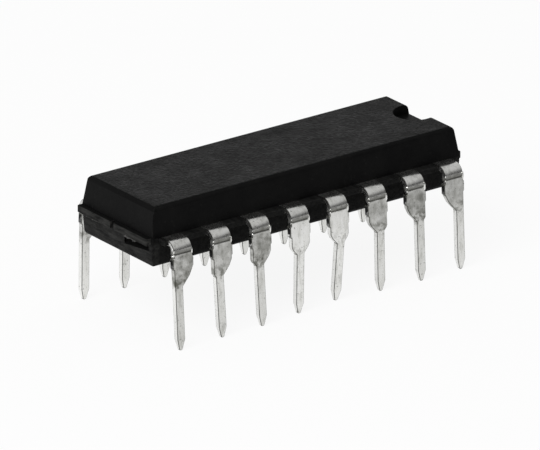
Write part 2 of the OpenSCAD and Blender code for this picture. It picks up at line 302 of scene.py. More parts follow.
# %% [markdown]
# ## The surround and the lamp
#
# Above the floor the surround is a gradient: dark at the level of the horizon in front, where
# a photographer's room is dark, and pale behind and overhead. Metal and the grazing sheen of
# the resin need that contrast. One large soft lamp stands high on the left, so that the near
# end of the package is a little lighter than its long side.

# %% Light the scene
DIM_FRONT = 0.03
PALE_BACK = 1.0
PALE_ABOVE = 0.50
FRONT_TO_BACK = (-0.5, 0.8)
HORIZON_TO_ABOVE = (0.10, 0.70)
world = bpy.data.worlds.new("surround")
bpy.context.scene.world = world
world.use_nodes = True
tree = world.node_tree
tree.nodes.clear()
way = split(tree, tree.nodes.new("ShaderNodeTexCoord").outputs["Generated"]).outputs
to_back = remap(tree, way["Y"], DIM_FRONT, PALE_BACK, FRONT_TO_BACK)
upward = remap(tree, way["Z"], 0.0, 1.0, HORIZON_TO_ABOVE, "SMOOTHSTEP")
level = add(
    tree, "ShaderNodeMix", {"Factor": upward, "A": to_back, "B": PALE_ABOVE}, data_type="FLOAT")
surround = add(tree, "ShaderNodeBackground", {"Color": WHITE, "Strength": level.outputs[0]})
white = add(tree, "ShaderNodeBackground", {"Color": WHITE, "Strength": 1.0})
rays = tree.nodes.new("ShaderNodeLightPath").outputs
mixed = add(tree, "ShaderNodeMixShader", {
    "Fac": rays["Is Camera Ray"], 1: surround.outputs[0], 2: white.outputs[0]})
add(tree, "ShaderNodeOutputWorld", {"Surface": mixed.outputs[0]})

KEY_PLACE = (-0.32, -0.14, 0.30)
KEY_SIZE = 0.30
KEY_WATTS = 1.6
key_data = bpy.data.lights.new("key", "AREA")
key_data.shape = "SQUARE"
key_data.size = KEY_SIZE
key_data.energy = KEY_WATTS
key = bpy.data.objects.new("key", key_data)
key.location = KEY_PLACE
key.rotation_euler = (-Vector(KEY_PLACE)).to_track_quat("-Z", "Y").to_euler()
bpy.context.scene.collection.objects.link(key)
bpy.context.scene.view_settings.view_transform = "Standard"

# %% [markdown]
# ## Effects that several materials share
#
# Four effects come back on several surfaces: uneven tone in soft clouds, small separate
# specks, the height of a fine grain on a coarser one, and a band between two levels with soft
# edges. Each is a node group with its own inputs, so that a material only says how coarse,
# how strong and where.


# %% Clouds and specks
def cloud_group():
    """Soft uneven tone: a factor from 0 to 1 that drifts over the surface."""
    tree, inside, outside = new_group(
        "uneven_tone",
        {"Vector": ("NodeSocketVector", None), "Scale": ("NodeSocketFloat", 1000.0),
         "Contrast": ("NodeSocketFloat", 1.0)},
        {"Tone": "NodeSocketFloat"},
    )
    noise = add(tree, "ShaderNodeTexNoise", {
        "Vector": inside.outputs["Vector"], "Scale": inside.outputs["Scale"],
        "Detail": 5.0, "Roughness": 0.62})
    centred = math_node(tree, "SUBTRACT", noise.outputs[0], 0.5)
    spread = math_node(tree, "MULTIPLY_ADD", centred, inside.outputs["Contrast"], 0.5)
    clamped = add(tree, "ShaderNodeClamp", {"Value": spread})
    tree.links.new(clamped.outputs[0], outside.inputs["Tone"])
    return tree


MOST_NOISE = 0.75
SPECK_EDGE = 9.0


def speck_group():
    """Small separate specks: 1 on a speck and 0 between them."""
    tree, inside, outside = new_group(
        "specks",
        {"Vector": ("NodeSocketVector", None), "Scale": ("NodeSocketFloat", 4000.0),
         "Share": ("NodeSocketFloat", 0.2)},
        {"Mask": "NodeSocketFloat"},
    )
    noise = add(tree, "ShaderNodeTexNoise", {
        "Vector": inside.outputs["Vector"], "Scale": inside.outputs["Scale"],
        "Detail": 2.0, "Roughness": 0.5})
    limit = math_node(tree, "SUBTRACT", MOST_NOISE, inside.outputs["Share"])
    over = math_node(tree, "SUBTRACT", noise.outputs[0], limit)
    clamped = add(tree, "ShaderNodeClamp", {"Value": times(tree, over, SPECK_EDGE)})
    tree.links.new(clamped.outputs[0], outside.inputs["Mask"])
    return tree


UNEVEN = cloud_group()
SPECKS = speck_group()
print("groups:", [g.name for g in bpy.data.node_groups])


# %% Grain and bands
def grain_group():
    """The height of a fine grain on a coarser one, for a bump."""
    tree, inside, outside = new_group(
        "grain",
        {"Vector": ("NodeSocketVector", None), "Fine": ("NodeSocketFloat", 14000.0),
         "Coarse": ("NodeSocketFloat", 2500.0), "Coarse Share": ("NodeSocketFloat", 0.5)},
        {"Height": "NodeSocketFloat"},
    )
    fine = add(tree, "ShaderNodeTexNoise", {
        "Vector": inside.outputs["Vector"], "Scale": inside.outputs["Fine"], "Detail": 3.0})
    coarse = add(tree, "ShaderNodeTexNoise", {
        "Vector": inside.outputs["Vector"], "Scale": inside.outputs["Coarse"], "Detail": 2.0})
    height = add(tree, "ShaderNodeMix", {
        "Factor": inside.outputs["Coarse Share"], "A": fine.outputs[0], "B": coarse.outputs[0]},
        data_type="FLOAT")
    tree.links.new(height.outputs[0], outside.inputs["Height"])
    return tree


def band_group():
    """1 where a coordinate lies between two levels, with soft edges, and 0 outside them."""
    tree, inside, outside = new_group(
        "band",
        {"Value": ("NodeSocketFloat", 0.0), "Low": ("NodeSocketFloat", 0.0),
         "High": ("NodeSocketFloat", 1.0), "Soft": ("NodeSocketFloat", 0.0001)},
        {"Mask": "NodeSocketFloat"},
    )
    above = math_node(tree, "SUBTRACT", inside.outputs["Value"], inside.outputs["Low"])
    below = math_node(tree, "SUBTRACT", inside.outputs["High"], inside.outputs["Value"])
    nearer = math_node(tree, "MINIMUM", above, below)
    slope = math_node(tree, "DIVIDE", nearer, inside.outputs["Soft"])
    clamped = add(tree, "ShaderNodeClamp", {"Value": math_node(tree, "ADD", slope, 0.5)})
    tree.links.new(clamped.outputs[0], outside.inputs["Mask"])
    return tree


GRAIN = grain_group()
BAND = band_group()
FAR = 1.0


def past(tree, value, low, soft):
    """1 where the value is beyond that level."""
    return from_group(tree, BAND, {"Value": value, "Low": low, "High": FAR, "Soft": soft})


def under(tree, value, high, soft):
    """1 where the value is between 0 and that level."""
    return from_group(tree, BAND, {"Value": value, "Low": 0.0, "High": high, "Soft": soft})


print("groups:", [g.name for g in bpy.data.node_groups])

# %% [markdown]
# ## Moulded epoxy
#
# The compound is epoxy filled with silica and blackened with carbon. It leaves a matte mould
# with next to no gloss face on, yet its flat top turns grey at a shallow angle, as every
# smooth surface does. A low specular level with a middling roughness gives just that. The
# grain of the mould shows most on the top, so its bump is weaker elsewhere. Painted on are a
# little dust, worn edges, the torn skin of the flanges and of the end below them, paler
# streaks over the lower half that are a painted reflection of the floor, and painted shade:
# black in the hollows, and darker on the rounded edge over the near end and the notch walls.

# %% Where the resin is torn
PART_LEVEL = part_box("die_paddle")[1][2]
STRIP_THICKNESS = 0.3 * MM
STRIP_Z = PART_LEVEL - STRIP_THICKNESS
END_FACE_X = 9.74 * MM
LOW_END_X = END_FACE_X - 0.5 * MM
LOW_END_TORN = 0.70
# The lower half gets a weak share of the paler streaks: a painted reflection of the floor, with a
# rougher grain.
LOWER_HALF_Z = STRIP_Z + 0.32 * MM
LOWER_HALF_SHEEN_AND_GRAIN = 0.30


def torn_share(tree, place, broken_share):
    """From 0 to 1: torn at the flanges and below them, painted paler over the lower half, and the
    share given.
    """
    axes = split(tree, place)
    sideways = math_node(tree, "ABSOLUTE", axes.outputs["X"], 0.0)
    flange = past(tree, sideways, END_FACE_X + 0.03 * MM, soft=0.03 * MM)
    low_end = times(
        tree, past(tree, sideways, LOW_END_X, soft=0.04 * MM),
        under(tree, axes.outputs["Z"], STRIP_Z, soft=0.06 * MM))
    lower_half = under(tree, axes.outputs["Z"], LOWER_HALF_Z, soft=0.04 * MM)
    torn = math_node(tree, "MAXIMUM", flange, times(tree, low_end, LOW_END_TORN))
    torn = math_node(tree, "MAXIMUM", torn, times(tree, lower_half, LOWER_HALF_SHEEN_AND_GRAIN))
    return math_node(tree, "MAXIMUM", torn, broken_share)


print("height of the leadframe's underside in mm:", round(STRIP_Z / MM, 2))

# %% The resin material
RESIN_DARK = (0.0028, 0.0028, 0.0029)
RESIN_PALE = (0.0052, 0.0052, 0.0051)
FILLER_GREY = (0.05, 0.05, 0.048)
# The next colour is the black of painted shade, in the hollows and on the shaded edges.
SHADE_BLACK = (0.0012, 0.0012, 0.0012)
DUST_LIGHT = 0.10
SHADE_COVER = 0.9
RESIN_ROUGHNESS = (0.34, 0.62)
RESIN_SPECULAR = 0.064
TORN_ROUGHER = 0.2
TORN_RELIEF = 0.5
MOTTLE_SHARE = 0.7
SIDE_GRAIN = 0.15
TOP_Z = cad_high.z
BROKEN_LEVEL = 0.034
BROKEN_BLUE = 0.95
LIP_LEVEL = 0.17


def resin_material(name, rim_light, broken_share, broken_level):
    """Black moulding compound, with its edges that much paler and that share of it broken."""
    material, tree, shader = new_material(name)
    place = object_place(tree)
    tone = from_group(tree, UNEVEN, {"Vector": place, "Scale": 900.0, "Contrast": 1.6})
    dust = from_group(tree, SPECKS, {"Vector": place, "Scale": 5200.0, "Share": 0.10})
    chipped = from_group(tree, SPECKS, {"Vector": place, "Scale": 2600.0, "Share": 0.34})
    streaks = drawn_out(tree, place, (1.0, 0.22, 1.0))
    streaky = from_group(tree, UNEVEN, {"Vector": streaks, "Scale": 5200.0, "Contrast": 3.0})

    colour = ramp(tree, tone, [(0.25, RESIN_DARK), (0.75, RESIN_PALE)])
    colour = blend(tree, times(tree, dust, DUST_LIGHT), colour, FILLER_GREY)
    worn = times(tree, marked(tree, "rim"), chipped, rim_light)
    colour = blend(tree, worn, colour, FILLER_GREY)
    torn = torn_share(tree, place, broken_share)
    torn_streaks = times(tree, torn, streaky)
    broken = (broken_level, broken_level, BROKEN_BLUE * broken_level)
    colour = blend(tree, torn_streaks, colour, broken)
    # Painted shade: the hollows go black, and the rounded edge over the near end and the notch
    # walls go darker; all of them are also rougher.
    shade_and_matte = math_node(tree, "MAXIMUM", marked(tree, "hollow"), marked(tree, "shaded"))
    colour = blend(tree, times(tree, shade_and_matte, SHADE_COVER), colour, SHADE_BLACK)
    tree.links.new(colour, shader.inputs["Base Color"])

    mottle = from_group(tree, UNEVEN, {"Vector": place, "Scale": 6500.0, "Contrast": 2.6})
    drift = math_node(tree, "SUBTRACT", mottle, 0.5)
    mixed_tone = math_node(tree, "MULTIPLY_ADD", drift, MOTTLE_SHARE, tone)
    rough = remap(tree, mixed_tone, *RESIN_ROUGHNESS)
    rougher = math_node(tree, "MULTIPLY_ADD", torn, TORN_ROUGHER, rough)
    tree.links.new(math_node(tree, "MAXIMUM", rougher, shade_and_matte), shader.inputs["Roughness"])
    shader.inputs["Specular IOR Level"].default_value = RESIN_SPECULAR

    height = from_group(tree, GRAIN, {
        "Vector": place, "Fine": 16000.0, "Coarse": 5200.0, "Coarse Share": 0.55})
    on_top = past(tree, split(tree, place).outputs["Z"], TOP_Z - 0.03 * MM, soft=0.02 * MM)
    grain_share = math_node(tree, "MULTIPLY_ADD", on_top, 1.0 - SIDE_GRAIN, SIDE_GRAIN)
    relief = math_node(
        tree, "MULTIPLY_ADD", torn_streaks, TORN_RELIEF, times(tree, height, grain_share))
    bump = add(tree, "ShaderNodeBump", {
        "Height": relief, "Strength": 0.8, "Distance": 0.07 * MM})
    tree.links.new(bump.outputs[0], shader.inputs["Normal"])
    return material


resin = resin_material("moulding_resin", 0.10, 0.0, BROKEN_LEVEL)
torn_resin = resin_material("torn_resin", 0.25, 0.35, BROKEN_LEVEL)
lip_resin = resin_material("broken_lip", 0.25, 1.0, LIP_LEVEL)
print("nodes in the resin:", len(resin.node_tree.nodes))

# %% [markdown]
# ## Tinned metal
#
# A lead is copper alloy under a skin of dull tin. Tin is bright but soft: it takes fine
# scratches along the pin and goes blotchy where the tool bent it. The crease gets a painted
# shade, the rounded edges a darker painted shade, and the sides a painted highlight.
# Where the dam bar was cut from the lead's edge, the torn metal holds black flash of resin.
# All leads have these marks at the same heights, so the heights drive the masks, and noise in
# object space makes each lead its own. How dull each shoulder is comes from its mesh.

# %% Heights of the marks on a lead
CREASE_Z = PART_LEVEL - 0.64 * MM
DAM_Z = PART_LEVEL - 1.15 * MM
DAM_HALF = 0.28 * MM
SEAT_Z = 3.3 * MM
BELOW_ALL = -1.0 * MM
print("crease at mm:", round(CREASE_Z / MM, 2), "dam bar at mm:", round(DAM_Z / MM, 2))

# %% The tin material
TIN_TONES = [
    (0.12, (0.66, 0.66, 0.63)), (0.45, (0.88, 0.88, 0.85)), (0.80, (0.94, 0.94, 0.92))]
SIDE_SHEEN_TIN = (0.93, 0.93, 0.91)
GREY_TIN = (0.30, 0.30, 0.27)
DULL_TIN = (0.17, 0.17, 0.15)
CREASE_SHADE_GREY = (0.15, 0.15, 0.13)
BLOTCH_GREY = (0.12, 0.12, 0.10)
SPECK_AND_FOLD_SHADE_GREY = (0.10, 0.10, 0.09)
RIM_SHADE_GREY = (0.07, 0.07, 0.06)
CUT_BLACK = (0.02, 0.02, 0.02)
WAVER = 0.25 * MM
SIDE_SHEEN = 0.75
PIN_DULLING = 0.42
PATCHES_GAIN, PATCHES_LEAST = 1.1, 0.45
CREASE_SHADE_STRENGTH = 0.70
FOLD_SHADE_STRENGTH = 0.50
BLOTCH_GAIN, BLOTCH_LEAST = 0.75, 0.28
SPECK_STAIN = 0.6
RIM_SHADE_RANGE = (0.72, 1.0)
TIN_ROUGHNESS = (0.34, 0.20)
CREASE_ROUGHER = 0.25


def tin_material(name, crease_shade_share):
    """Dull tin plate, with that much of the crease's painted shade."""
    material, tree, shader = new_material(name)
    place = object_place(tree)
    height = split(tree, place).outputs["Z"]
    drift = from_group(tree, UNEVEN, {"Vector": place, "Scale": 2300.0, "Contrast": 1.0})
    waver = math_node(tree, "SUBTRACT", drift, 0.5)
    wavy_height = math_node(tree, "MULTIPLY_ADD", waver, WAVER, height)

    def between(low, high, soft):
        """1 between two heights, with an edge that wavers."""
        return from_group(
            tree, BAND, {"Value": wavy_height, "Low": low, "High": high, "Soft": soft})

    drawn = drawn_out(tree, place, (1.0, 1.0, 0.3))
    tone = from_group(tree, UNEVEN, {"Vector": drawn, "Scale": 3800.0, "Contrast": 2.3})
    side = marked(tree, "side")
    dull = marked(tree, "dull")
    # The sides are painted paler than the fronts: a painted highlight for the bright floor they
    # mirror.
    colour = blend(tree, times(tree, side, SIDE_SHEEN), ramp(tree, tone, TIN_TONES), SIDE_SHEEN_TIN)

    pin = between(BELOW_ALL, SEAT_Z, soft=0.20 * MM)
    front = math_node(tree, "SUBTRACT", 1.0, side)
    colour = blend(tree, times(tree, pin, dull, PIN_DULLING, front), colour, GREY_TIN)
    shoulder = between(SEAT_Z + 0.05 * MM, CREASE_Z, soft=0.30 * MM)
    mottled = from_group(tree, UNEVEN, {"Vector": place, "Scale": 2600.0, "Contrast": 2.4})
    patches = math_node(tree, "MULTIPLY_ADD", mottled, PATCHES_GAIN, PATCHES_LEAST)
    dulling = add(tree, "ShaderNodeClamp", {"Value": times(tree, shoulder, dull, patches)})
    colour = blend(tree, dulling.outputs[0], colour, DULL_TIN)

    # Painted shade darkens the crease and the strip above it, and darkens the faces of the fold
    # more.
    at_crease = between(CREASE_Z - 0.03 * MM, CREASE_Z + 0.19 * MM, soft=0.10 * MM)
    crease_shade = times(tree, at_crease, crease_shade_share)
    fold_shade = marked(tree, "fold_shade")
    colour = blend(tree, times(tree, crease_shade, CREASE_SHADE_STRENGTH), colour, CREASE_SHADE_GREY)
    colour = blend(tree, times(tree, fold_shade, FOLD_SHADE_STRENGTH), colour, SPECK_AND_FOLD_SHADE_GREY)

    blade_foot = between(SEAT_Z - 0.15 * MM, SEAT_Z + 0.55 * MM, soft=0.35 * MM)
    blotches = from_group(tree, SPECKS, {"Vector": place, "Scale": 3600.0, "Share": 0.27})
    blotch_level = math_node(tree, "MULTIPLY_ADD", dull, BLOTCH_GAIN, BLOTCH_LEAST)
    colour = blend(tree, times(tree, blade_foot, blotches, blotch_level), colour, BLOTCH_GREY)
    specks = from_group(tree, SPECKS, {"Vector": place, "Scale": 9000.0, "Share": 0.12})
    colour = blend(tree, times(tree, specks, SPECK_STAIN), colour, SPECK_AND_FOLD_SHADE_GREY)

    cut = between(DAM_Z - DAM_HALF, DAM_Z + DAM_HALF, soft=0.08 * MM)
    torn = from_group(tree, SPECKS, {"Vector": place, "Scale": 3800.0, "Share": 0.42})
    resin_on_cut = times(tree, side, cut, torn)
    colour = blend(tree, resin_on_cut, colour, CUT_BLACK)
    # Painted shade darkens the rounded edges outside the resin, in patches.
    patchy = from_group(tree, UNEVEN, {"Vector": place, "Scale": 2600.0, "Contrast": 2.2})
    rim_shade = times(tree, marked(tree, "rim"), remap(tree, patchy, *RIM_SHADE_RANGE))
    colour = blend(tree, rim_shade, colour, RIM_SHADE_GREY)
    tree.links.new(colour, shader.inputs["Base Color"])
    metal = math_node(tree, "SUBTRACT", 1.0, resin_on_cut)
    tree.links.new(metal, shader.inputs["Metallic"])

    rough = remap(tree, tone, *TIN_ROUGHNESS)
    shade_painted = math_node(tree, "MAXIMUM", crease_shade, fold_shade)
    rougher = math_node(tree, "MULTIPLY_ADD", shade_painted, CREASE_ROUGHER, rough)
    tree.links.new(rougher, shader.inputs["Roughness"])
    grain = from_group(tree, GRAIN, {
        "Vector": drawn, "Fine": 11000.0, "Coarse": 2600.0, "Coarse Share": 0.75})
    bump = add(tree, "ShaderNodeBump", {
        "Height": grain, "Strength": 0.4, "Distance": 0.022 * MM})
    tree.links.new(bump.outputs[0], shader.inputs["Normal"])
    return material


tin = tin_material("tinned_lead", 1.0)
fresh_tin = tin_material("squeezed_tin", 0.0)
print("nodes in the tin:", len(tin.node_tree.nodes))

# %% [markdown]
# ## The metals and layers inside
#
# Nothing of these shows from outside but the cut ends of the two tie bars, yet they are true
# parts. Bare copper alloy is rolled, so its grain runs along the strip, and its cut ends, deep
# in the tie-bar slots, are painted dark as shade; the adhesive is full of silver flakes; the
# die is polished silicon, whose ground sides are matte; gold wire is plain.

# %% Inner materials
CUT_END_SHADE = (0.01, 0.008, 0.007)
CUT_END_SHADE_COVER = 0.93
PASTE, PASTE_ROUGHNESS = (0.52, 0.49, 0.42), 0.7
FLAKE, FLAKE_ROUGHNESS = (0.85, 0.84, 0.80), 0.3
GROUND_SILICON, GROUND_ROUGHNESS = (0.12, 0.12, 0.13), 0.55
POLISHED_ROUGHNESS = 0.12


def rolled_metal(name, low, high, roughness, stretch):
    """A metal between two colours, streaked along X by that stretch."""
    material, tree, shader = new_material(name)
    place = object_place(tree)
    drawn = drawn_out(tree, place, (1.0 / stretch, 1.0, 1.0))
    tone = from_group(tree, UNEVEN, {"Vector": drawn, "Scale": 6000.0, "Contrast": 2.0})
    sideways = math_node(tree, "ABSOLUTE", split(tree, place).outputs["X"], 0.0)
    # The cut ends are painted nearly black: painted shade deep in the tie-bar slots.
    cut_end = past(tree, sideways, END_FACE_X - 0.1 * MM, soft=0.05 * MM)
    fresh = ramp(tree, tone, [(0.2, low), (0.8, high)])
    shade_painted = blend(tree, times(tree, cut_end, CUT_END_SHADE_COVER), fresh, CUT_END_SHADE)
    tree.links.new(shade_painted, shader.inputs["Base Color"])
    rough = remap(tree, tone, roughness + 0.08, roughness - 0.05)
    tree.links.new(rough, shader.inputs["Roughness"])
    shader.inputs["Metallic"].default_value = 1.0
    grain = from_group(tree, GRAIN, {"Vector": drawn})
    bump = add(tree, "ShaderNodeBump", {
        "Height": grain, "Strength": 0.4, "Distance": 0.01 * MM})
    tree.links.new(bump.outputs[0], shader.inputs["Normal"])
    return material


def flake_adhesive():
    """Pale paste with bright metal flakes in it."""
    material, tree, shader = new_material("die_adhesive")
    place = object_place(tree)
    flakes = from_group(tree, SPECKS, {"Vector": place, "Scale": 20000.0, "Share": 0.25})
    tree.links.new(ramp(tree, flakes, [(0.0, PASTE), (1.0, FLAKE)]), shader.inputs["Base Color"])
    tree.links.new(flakes, shader.inputs["Metallic"])
    rough = remap(tree, flakes, PASTE_ROUGHNESS, FLAKE_ROUGHNESS)
    tree.links.new(rough, shader.inputs["Roughness"])
    return material


def silicon_chip(top_z):
    """Polished silicon above, with the blocks of its circuits, and ground sides."""
    material, tree, shader = new_material("silicon")
    place = object_place(tree)
    blocks = add(tree, "ShaderNodeTexBrick", {
        "Vector": place, "Scale": 3200.0, "Color1": (0.16, 0.19, 0.25, 1),
        "Color2": (0.22, 0.24, 0.30, 1), "Mortar": (0.34, 0.36, 0.40, 1), "Mortar Size": 0.04})
    top = past(tree, split(tree, place).outputs["Z"], top_z - 0.01 * MM, soft=0.004 * MM)
    colour = blend(tree, top, GROUND_SILICON, blocks.outputs["Color"])
    tree.links.new(colour, shader.inputs["Base Color"])
    rough = remap(tree, top, GROUND_ROUGHNESS, POLISHED_ROUGHNESS)
    tree.links.new(rough, shader.inputs["Roughness"])
    shader.inputs["Metallic"].default_value = 0.6
    return material


copper = rolled_metal("leadframe_copper", (0.30, 0.14, 0.07), (0.62, 0.34, 0.20), 0.36, 6.0)
gold = rolled_metal("gold_wire", (0.78, 0.54, 0.17), (0.94, 0.72, 0.32), 0.18, 1.0)
print("materials so far:", len(bpy.data.materials))


# %% Dress the inner pieces
def dress_node(name, material):
    """Gives a carried-over solid its material."""
    mesh = nodes[name].data
    mesh.materials.clear()
    mesh.materials.append(material)


dress_node("die_paddle", copper)
dress_node("die_attach", flake_adhesive())
dress_node("die", silicon_chip(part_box("die")[1][2]))
for name in nodes:
    if name.startswith("bond_wire"):
        dress_node(name, gold)
print("inner nodes dressed:", sum(1 for n in nodes if not n.startswith("lead") and n != "body"))

# %% [markdown]
# ## Edges that catch the light
#
# No real edge is sharp. The solids come with sharp edges, so the body and the leads are shown
# by copies of their meshes whose visible edges are bevelled. Two facts help to choose those
# edges: an edge is worth a bevel where its two faces meet at a real angle, and where both can
# be seen from outside, which a few rays cast from the middle of each face tell. The new faces
# are marked as rim, so that the materials can put wear there, and on the leads a painted shade.

# %% Clean copies and what shows of them
SHARP = math.radians(30.0)
NEARLY_FLAT = math.radians(1.0)
MERGE_WITHIN = 1e-7
HAIR = 0.001 * MM
RAY_SPREAD = 0.8
GRAZING = 0.05
WAYS = [
    Vector(v) for v in (
        (0, 0, 0), (1, 0, 0), (-1, 0, 0), (0, 1, 0), (0, -1, 0), (0, 0, 1), (0, 0, -1))]


def merged_copy(name):
    """A node's mesh as a bmesh with shared corners and whole flat faces."""
    bm = bmesh.new()
    bm.from_mesh(nodes[name].data)
    bmesh.ops.remove_doubles(bm, verts=bm.verts, dist=MERGE_WITHIN)
    bmesh.ops.dissolve_limit(bm, angle_limit=NEARLY_FLAT, verts=bm.verts, edges=bm.edges)
    return bm


def seen_faces(bm):
    """The faces from which some ray gets away past the rest of the mesh."""
    walls = BVHTree.FromBMesh(bm)
    seen = set()
    for face in bm.faces:
        start = face.calc_center_median() + face.normal * HAIR
        for way in WAYS:
            ray = (face.normal + RAY_SPREAD * way).normalized()
            if ray.dot(face.normal) > GRAZING and walls.ray_cast(start, ray)[0] is None:
                seen.add(face)
                break
    return seen


print("rays per face, at most:", len(WAYS))

# %% Bevel, mark and finish a piece
BEVEL_SEGMENTS = 2
SMOOTH_UNDER = math.radians(40.0)


def bevel_edges(bm, edges, width):
    """Bevels those edges, and gives the new faces."""
    done = bmesh.ops.bevel(
        bm, geom=edges, offset=width, offset_type="OFFSET", segments=BEVEL_SEGMENTS,
        profile=0.5, affect="EDGES", clamp_overlap=False, material=-1)
    bmesh.ops.recalc_face_normals(bm, faces=bm.faces)
    return done["faces"]


def mark(bm, layer_name, faces, level=1.0):
    """Writes a level on those faces' corners in a layer of that name, and 0 elsewhere."""
    layers = bm.loops.layers.float_color
    layer = layers.get(layer_name) or layers.new(layer_name)
    chosen = set(faces)
    for face in bm.faces:
        value = level if face in chosen else 0.0
        for loop in face.loops:
            loop[layer] = (value, value, value, 1.0)


def finished_piece(name, bm, material, node):
    """Makes the object for a bmesh, lets it ride, and hides the node it stands for."""
    for edge in bm.edges:
        edge.smooth = len(edge.link_faces) == 2 and edge.calc_face_angle() < SMOOTH_UNDER
    for face in bm.faces:
        face.smooth = True
    mesh = bpy.data.meshes.new(name)
    bm.to_mesh(mesh)
    bm.free()
    mesh.materials.append(material)
    piece = bpy.data.objects.new(name, mesh)
    bpy.context.scene.collection.objects.link(piece)
    weighted = piece.modifiers.new("flat_faces_flat", "WEIGHTED_NORMAL")
    weighted.keep_sharp = True
    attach(piece, "root")
    if node:
        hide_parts(node)
    return piece


print("bevels take", BEVEL_SEGMENTS, "segments")

# %% [markdown]
# ## The formed leads
#
# Each lead is shown outside the resin only, so only its edges there are rounded. The crease
# is a groove of a few hundredths of a millimetre, which a bevel would eat up, so its edges
# stay as they are, and its faces are marked as a fold for the material to darken as painted
# shade. The dies rubbed some shoulders dull and left others bright, which is given lead by lead.

# %% The leads
LEAD_ROUNDING = 0.032 * MM
WEB_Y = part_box("body")[1][1]
FOLD_LOW = -0.045 * MM
FOLD_HIGH = 0.070 * MM
FOLD_Y = 3.95 * MM
TURNED_OUT = 0.4
TURNED_SIDEWAYS = 0.8
DULLNESS = {9: 0.68, 10: 0.45, 11: 0.60, 12: 0.0, 13: 0.0, 14: 0.42, 15: 0.58, 16: 0.38}
USUAL_DULLNESS = 0.4


def in_fold(point):
    """Whether a point belongs to the crease, with the narrow strip above it."""
    return FOLD_LOW < point.z - CREASE_Z < FOLD_HIGH and abs(point.y) > FOLD_Y


def is_outside(edge):
    """Whether an edge of a lead lies outside the resin."""
    return all(abs(vert.co.y) > WEB_Y - HAIR for vert in edge.verts)


for name in [n for n in nodes if n.startswith("lead_")]:
    bm = merged_copy(name)
    edges = [
        edge for edge in bm.edges
        if edge.calc_face_angle() > SHARP and is_outside(edge)
        and not all(in_fold(vert.co) for vert in edge.verts)
    ]
    mark(bm, "rim", bevel_edges(bm, edges, LEAD_ROUNDING))
    mark(bm, "fold_shade", [
        f for f in bm.faces if in_fold(f.calc_center_median()) and abs(f.normal.y) > TURNED_OUT])
    mark(bm, "side", [f for f in bm.faces if abs(f.normal.x) > TURNED_SIDEWAYS])
    mark(bm, "dull", bm.faces, DULLNESS.get(int(name[-2:]), USUAL_DULLNESS))
    finished_piece("formed_" + name, bm, tin, name)
print("leads dressed:", sum(1 for n in nodes if n.startswith("lead_")))

# %% [markdown]
# ## Burrs where the tools bit
#
# A die that creases and trims soft tin squeezes a little of it out past the edges. Each lead
# keeps two small bumps at the crease and a narrow lip down the other edge, where the dam bar
# was sheared off, and the lead at the near corner has four more. The stubs of the dam bar
# hold on to black flash of resin. Spheres that are stretched, set on those edges and dented
# at random are enough, because each burr is only a tenth of a millimetre across.

# %% Balls for burrs
SHOULDER_PITCH = 2.45 * MM
SHOULDER_HALF = 0.565 * MM
ROW_LEADS = 8
OUTER_Y = 4.08 * MM
SPLAY = math.radians(3.4)
BURR_SIZES = (0.75, 1.1)
BURR_DENTS = (-0.16, 0.10)


def shoulders():
    """Each shoulder's row, its number in the row and its middle along X."""
    for row in (-1, 1):
        for number in range(ROW_LEADS):
            yield row, number, (number - (ROW_LEADS - 1) / 2) * SHOULDER_PITCH


def add_burr(bm, middle, half, dice):
    """A dented, stretched ball at that place, with those half sizes in mm."""
    made = bmesh.ops.create_icosphere(bm, subdivisions=2, radius=1.0)["verts"]
    size = Vector(half) * MM * dice.uniform(*BURR_SIZES)
    for vert in made:
        dent = 1.0 + dice.uniform(*BURR_DENTS)
        vert.co = middle + Vector(v * s for v, s in zip(vert.co * dent, size))


print("shoulders:", len(list(shoulders())))

# %% Metal burrs at the creases
# Each burr: the edge it sits on, how far inward and above the crease in mm, and its half sizes.
BURRS = [
    (-1, 0.012, 0.17, (0.05, 0.06, 0.06)),
    (-1, 0.012, -0.02, (0.06, 0.07, 0.05)),
    (1, 0.012, 0.02, (0.055, 0.05, 0.22)),
]
CORNER_BURRS = [
    (-1, 0.12, 0.30, (0.05, 0.06, 0.05)),
    (-1, 0.07, 0.10, (0.08, 0.10, 0.05)),
    (-1, 0.14, -0.10, (0.07, 0.10, 0.05)),
    (-1, 0.04, -0.22, (0.09, 0.05, 0.045)),
]
NEAR_CORNER = (-1, 0)
BURR_SUNK = 0.012 * MM
RISE_VARIES = (0.85, 1.15)
BURR_SEED = 16

dice = random.Random(BURR_SEED)
bm = bmesh.new()
for row, number, middle_x in shoulders():
    extra = CORNER_BURRS if (row, number) == NEAR_CORNER else []
    for side, inward, rise, half in BURRS + extra:
        z = CREASE_Z + rise * MM * dice.uniform(*RISE_VARIES)
        y = row * (OUTER_Y + math.tan(SPLAY) * max(0.0, CREASE_Z - z) - inward * MM)
        x = middle_x - side * row * (SHOULDER_HALF - BURR_SUNK)
        add_burr(bm, Vector((x, y, z)), half, dice)
print("corners of all metal burrs:", len(bm.verts))
finished_piece("crease_burrs", bm, fresh_tin, None)

# %% Resin on the stubs of the dam bar
STUB_OUT = 0.06 * MM
FLASH_IN = 0.12 * MM
FLASH_DROP = 0.45
FLASH_HALF = (0.045, 0.13, 0.21)
DROP_VARIES = (0.9, 1.1)
FLASH_SEED = 32

dice = random.Random(FLASH_SEED)
bm = bmesh.new()
for row, number, middle_x in shoulders():
    for side in (-1, 1):
        z = CREASE_Z - FLASH_DROP * MM * dice.uniform(*DROP_VARIES)
        y = row * (OUTER_Y - FLASH_IN)
        x = middle_x + side * (SHOULDER_HALF + STUB_OUT)
        add_burr(bm, Vector((x, y, z)), FLASH_HALF, dice)
print("corners of all resin flash:", len(bm.verts))
finished_piece("dam_flash", bm, torn_resin, None)

